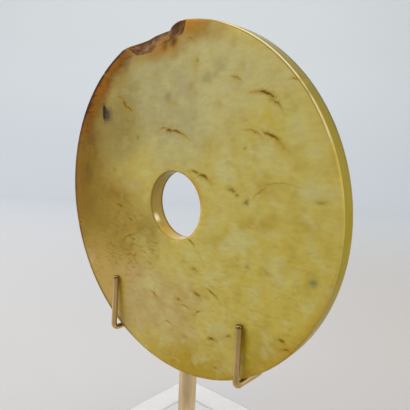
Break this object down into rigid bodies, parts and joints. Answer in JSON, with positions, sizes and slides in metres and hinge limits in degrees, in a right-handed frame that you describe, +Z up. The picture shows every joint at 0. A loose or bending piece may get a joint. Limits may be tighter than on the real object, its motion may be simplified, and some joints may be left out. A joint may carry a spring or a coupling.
{
  "type": "stone bi disc on display stand",
  "caption": "Thin translucent stone disc with a central hole and a chipped rim, held upright by bent wire prongs on a round stem set in a clear slab.",
  "frame": {"origin": "middle of the clear slab's underside, below the stem", "axes": "+Z up; the disc faces -Y; +X is to the right of a viewer who looks at the disc's face"},
  "size_m": [0.11, 0.1, 0.1614],
  "materials": {
    "agate": "polished, translucent yellow-green with brown staining at the rim",
    "brass": "satin, slightly dulled",
    "acrylic": "clear and polished"
  },
  "bodies": {
    "root": {"bi_disc": "agate", "cradle_wire": "brass", "stem": "brass", "base": "acrylic"}
  },
  "joints": []
}
